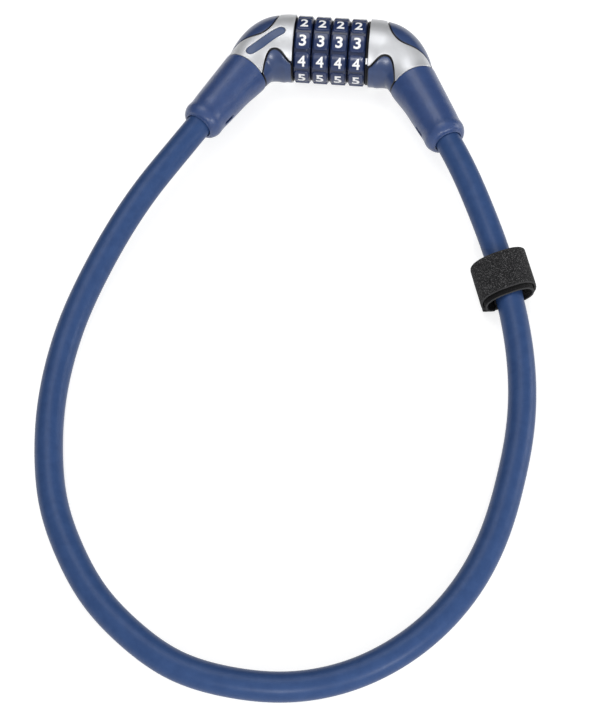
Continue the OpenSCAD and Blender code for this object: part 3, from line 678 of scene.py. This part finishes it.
def dial_height(x, angle):
    """Radius of a dial's outside. The groove falls away at the rims, and a pad rises from it as a
    quarter ellipse inside a rectangle with round corners."""
    rim = np.clip((np.abs(x) - dial_half + rim_in) / rim_in, 0, 1)
    base = groove_r - rim_drop * rim ** 1.5
    arc = (np.mod(angle - row_angle + digit_step / 2, digit_step) - digit_step / 2) * dial_r
    qx = np.abs(x) - pad_half[0] + pad_corner
    qy = np.abs(arc) - pad_half[1] + pad_corner
    edge = np.hypot(np.maximum(qx, 0), np.maximum(qy, 0)) + np.minimum(np.maximum(qx, qy), 0) - pad_corner
    t = np.clip(-edge / pad_brow, 0, 1)
    pad = groove_r + (dial_r - groove_r) * np.sqrt(1 - (1 - t) ** 2)
    return np.where(edge < 0, pad, base)


dial_gloss = moulded("dial_gloss", low=(0.012, 0.026, 0.088), high=(0.016, 0.032, 0.104), roughness=0.14,
                     rough_spread=0.02, grain=700, grain_depth=0.01 * mm, paints_groove_shade=True,
                     Specular_IOR_Level=0.5)
angle = np.linspace(0, 2 * np.pi, 720, endpoint=False)
x_steps = np.linspace(-dial_half, dial_half, 60)
radius = dial_height(x_steps[:, None], angle[None, :])
bore = np.full((1, len(angle)), dial_bore)
ring_x = np.r_[-dial_half, x_steps, dial_half][:, None] + np.zeros((1, len(angle)))
ring_r = np.vstack([bore, radius, bore])
pad_foot = np.clip(1 - (ring_r - groove_r) / foot_high, 0, 1)
near_rim = np.clip((np.abs(ring_x) - dial_half + rim_shade_in) / rim_shade_fade, 0, 1)


def on_dial(x, r, angle):
    """Point beside the dials' axis. The angle counts from straight up, towards the loop."""
    return np.stack([x, axis_y - r * np.sin(angle), axis_z + r * np.cos(angle)], -1)


dial_mid = {k: (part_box(f"dial_{k}")[0].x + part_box(f"dial_{k}")[1].x) / 2 for k in range(1, 5)}
for k, middle in dial_mid.items():
    dial = solid(f"dial_ring_shell_{k}", on_dial(middle + ring_x, ring_r, angle + 0 * ring_x),
                 grid_faces(*ring_x.shape, closed_rows=True))
    # Painted shade: darker at the feet of the pads and near both rims, where the gaps between pads and
    # between dials lie in shadow
    mark(dial, "groove", np.maximum(foot_shade * pad_foot, near_rim))
    place(dial, dial_gloss, "dial_plastic", f"dial_ring_{k}", f"dial_{k}")

# ---- Numbers ----
# Upright bold numerals, sunk in the pads and filled with white paint that stands just proud.
digit_high, digit_wide, digit_widened = 5.4 * mm, 3.6 * mm, 1.12
digit_proud, digit_sunk, digit_cuts = 0.05 * mm, 0.25 * mm, 16
four = [(0.493, 0.330), (0.493, 0.202), (0.420, 0.202), (0.420, -0.022), (0.286, -0.022), (0.286, 0.202),
        (-0.011, 0.202), (-0.011, 0.287), (0.336, 0.713), (0.420, 0.713), (0.420, 0.330)]
four_opening = [(0.170, 0.330), (0.286, 0.330), (0.286, 0.482)]


def numeral(digit):
    """Flat solid numeral as points and faces: centred, at its real height, widened a little where there is
    room, and cut into bands so that it can be bent round the dial. The 4 is drawn from listed points,
    because a bold 4 of the plain font closes up."""
    if digit == 4:
        curve = bpy.data.curves.new("numeral_4", "CURVE")
        curve.dimensions, curve.fill_mode = "2D", "BOTH"
        for outline in (four, four_opening):
            spline = curve.splines.new("POLY")
            spline.points.add(len(outline) - 1)
            spline.points.foreach_set("co", [value for x, y in outline for value in (x, y, 0, 1)])
            spline.use_cyclic_u = True
    else:
        curve = bpy.data.curves.new(f"numeral_{digit}", "FONT")
        curve.body = str(digit)
        curve.size, curve.offset, curve.resolution_u = 1.0, 0.022, 8
    curve.extrude = 0.05
    text = bpy.data.objects.new(curve.name, curve)
    mesh = bpy.data.meshes.new_from_object(text)
    work = bmesh.new()
    work.from_mesh(mesh)
    bmesh.ops.remove_doubles(work, verts=work.verts, dist=1e-5)
    ys = [v.co.y for v in work.verts]
    for height in np.linspace(min(ys), max(ys), digit_cuts + 2)[1:-1]:
        geometry = work.verts[:] + work.edges[:] + work.faces[:]
        bmesh.ops.bisect_plane(work, geom=geometry, plane_co=(0, height, 0), plane_no=(0, 1, 0))
    bmesh.ops.triangulate(work, faces=work.faces[:])
    points = np.array([v.co for v in work.verts])
    faces = np.array([[v.index for v in face.verts] for face in work.faces])
    work.free()
    bpy.data.objects.remove(text)
    bpy.data.curves.remove(curve)
    bpy.data.meshes.remove(mesh)
    low, high = points.min(0), points.max(0)
    points = points - (low + high) / 2
    scale = digit_high / (high[1] - low[1])
    points[:, 1] *= scale
    points[:, 0] *= min(digit_wide / (high[0] - low[0]), scale * digit_widened)
    return points, faces


paint, add = finish_named("digit_paint", 0.35, Specular_IOR_Level=0.5)
here = add("TexCoord").outputs["Object"]
wear = add("TexNoise", Vector=here, Scale=1800.0, Detail=2.0).outputs["Fac"]
add.shader(Base_Color=ramped(add, wear, 0.30, (0.82, 0.83, 0.84), 0.50, (0.90, 0.905, 0.91)))
numerals = [numeral(digit) for digit in range(10)]
for k, middle in dial_mid.items():
    all_points, all_faces, count = [], [], 0
    for digit, (points, faces) in enumerate(numerals):
        thick = points[:, 2] / np.abs(points[:, 2]).max()
        r = dial_r + np.where(thick > 0, digit_proud, -digit_sunk)
        at = row_angle + (digit - row_digit) * digit_step - points[:, 1] / dial_r
        all_points.append(on_dial(middle + points[:, 0], r, at))
        all_faces.append(faces + count)
        count += len(points)
    numbers = solid(f"dial_{k}_numbers", np.vstack(all_points), np.vstack(all_faces))
    numbers.data.set_sharp_from_angle(angle=np.radians(40))
    place(numbers, paint, "digit_paint", f"dial_ring_{k}")

# ---- Collar, washer and index mark ----
# Black acetal rings at both ends of the stack of dials, and the white mark set in the collar.
acetal = moulded("black_acetal", low=(0.004, 0.004, 0.005), high=(0.007, 0.007, 0.008), roughness=0.5,
                 grain=1500, grain_depth=0.02 * mm, Specular_IOR_Level=0.15)


def refinish(names, material):
    """Gives a finish to CAD pieces that keep their own shape."""
    for name in names:
        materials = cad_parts[name].data.materials
        materials.clear()
        materials.append(material)


refinish(["thrust_washer", "end_collar"], acetal)
refinish(["index_mark"], paint)

# ---- Lockwork ----
# Turned and ground steel for what carries load: sleeve, bolt, pins, spring and rope. Tumblers and
# ferrules are zinc castings, tumbled dull.


def metal(name, low, high, roughness, grain, stretch):
    """Bare metal with fine marks. stretch squeezes the marks' pattern along X, Y and Z, so that marks run
    round or along a piece."""
    material, add = finish_named(name, roughness, Metallic=1.0)
    here = add("TexCoord").outputs["Object"]
    mapped = add("Mapping", Vector=here, Scale=stretch).outputs["Vector"]
    marks = add("TexNoise", Vector=mapped, Scale=grain, Detail=3.0, Roughness=0.6).outputs["Fac"]
    colour = ramped(add, marks, 0.3, low, 0.7, high)
    gloss = add("MapRange", Value=marks, To_Min=roughness - 0.08, To_Max=roughness + 0.08)
    bump = add("Bump", Height=marks, Strength=1.0, Distance=0.03 * mm)
    add.shader(Base_Color=colour, Roughness=gloss.outputs["Result"], Normal=bump.outputs["Normal"])
    return material


steel = metal("ground_steel", low=(0.50, 0.51, 0.52), high=(0.62, 0.63, 0.64), roughness=0.28, grain=600.0,
              stretch=(8, 1, 1))
zinc = metal("zinc_casting", low=(0.50, 0.50, 0.49), high=(0.62, 0.62, 0.61), roughness=0.45, grain=900.0,
             stretch=(1, 1, 1))
refinish(["core_sleeve", "core_pin", "detent_spring", "bolt", "bolt_pin", "left_ferrule_pin",
          "right_ferrule_pin", "left_rope_end", "right_rope_end"], steel)
refinish(["tumbler_1", "tumbler_2", "tumbler_3", "tumbler_4", "left_ferrule", "right_ferrule"], zinc)

# ---- Table, light and camera ----
# A pale table that shows as white, a light tent that is brightest above the viewer and dims away from
# there, four soft lamps, and a camera above the loop that looks down at the lock.
table_half, table_z, table_lift = 3, -0.2 * mm, 0.7
table_corners = [(x * table_half, y * table_half, table_z) for x, y in ((-1, -1), (1, -1), (1, 1), (-1, 1))]
table_mesh = bpy.data.meshes.new("table")
table_mesh.from_pydata(table_corners, [], [(0, 1, 2, 3)])
table = bpy.data.objects.new("table", table_mesh)
bpy.context.scene.collection.objects.link(table)


def shown_directly(add):
    """1 on the rays that show a background: straight from the camera, off metal, or through glass."""
    path = add("LightPath").outputs
    first = add("Math", {"operation": "MAXIMUM"})
    add.link(path["Is Camera Ray"], first.inputs[0])
    add.link(path["Is Glossy Ray"], first.inputs[1])
    both = add("Math", {"operation": "MAXIMUM"})
    add.link(first.outputs[0], both.inputs[0])
    add.link(path["Is Transmission Ray"], both.inputs[1])
    return both.outputs[0]


table_white, add = finish_named("table_white", 0.9, Specular_IOR_Level=0.0, Base_Color=(0.5, 0.5, 0.5, 1))
lift = add("MapRange", Value=shown_directly(add), To_Max=table_lift)
add.shader(Emission_Color=(1, 1, 1, 1), Emission_Strength=lift.outputs["Result"])
table_mesh.materials.append(table_white)

tent_towards, tent_dim, tent_bright = (0.15, -0.68, 0.72), 0.1, 0.7
world = bpy.data.worlds.new("light_tent")
bpy.context.scene.world = world
world.use_nodes = True
add = node_adder(world.node_tree)
towards = add("VectorMath", {"operation": "DOT_PRODUCT"})
add.link(add("TexCoord").outputs["Generated"], towards.inputs[0])
towards.inputs[1].default_value = tent_towards
tent = add("MapRange", {"interpolation_type": "SMOOTHSTEP"}, Value=towards.outputs["Value"],
           From_Min=-0.4, From_Max=0.85, To_Min=tent_dim, To_Max=tent_bright)
white = add("MapRange", Value=add("LightPath").outputs["Is Camera Ray"], To_Min=tent.outputs["Result"])
background = world.node_tree.nodes["Background"]
add.link(white.outputs["Result"], background.inputs["Color"])
background.inputs["Strength"].default_value = 1.0
lamps_face = Vector((0, -0.08, 0.01))


def lamp(name, at, size, power):
    """Soft square lamp that faces the lock. Its power is in watts."""
    light = bpy.data.lights.new(name, "AREA")
    light.size, light.energy = size, power
    piece = bpy.data.objects.new(name, light)
    bpy.context.scene.collection.objects.link(piece)
    piece.location = at
    piece.rotation_euler = (lamps_face - Vector(at)).to_track_quat("-Z", "Y").to_euler()


lamp("overhead_lamp", at=(-0.25, 0.3, 1.1), size=0.7, power=4.2)
lamp("viewer_lamp", at=(0.05, -1.1, 0.62), size=0.1, power=3.4)
lamp("right_lamp", at=(0.75, -0.95, 0.5), size=0.2, power=4.2)
lamp("side_lamp", at=(1.1, 0.3, 0.22), size=0.5, power=3.4)

camera_data = bpy.data.cameras.new("camera")
camera_data.lens, camera_data.sensor_width, camera_data.clip_start = 86.17, 36, 0.01
camera = bpy.data.objects.new("camera", camera_data)
bpy.context.scene.collection.objects.link(camera)
camera_at = (0.05266, -0.53203 + axis_y, 0.65035)
camera_right = (0.99506, 0.09667, -0.02259)
camera_up = (-0.07253, 0.86328, 0.49949)
camera_back = (0.06779, -0.49538, 0.86603)
camera.matrix_world = Matrix([*zip(camera_right, camera_up, camera_back, camera_at), (0, 0, 0, 1)])
bpy.context.scene.camera = camera
bpy.context.scene.view_settings.view_transform = "Standard"
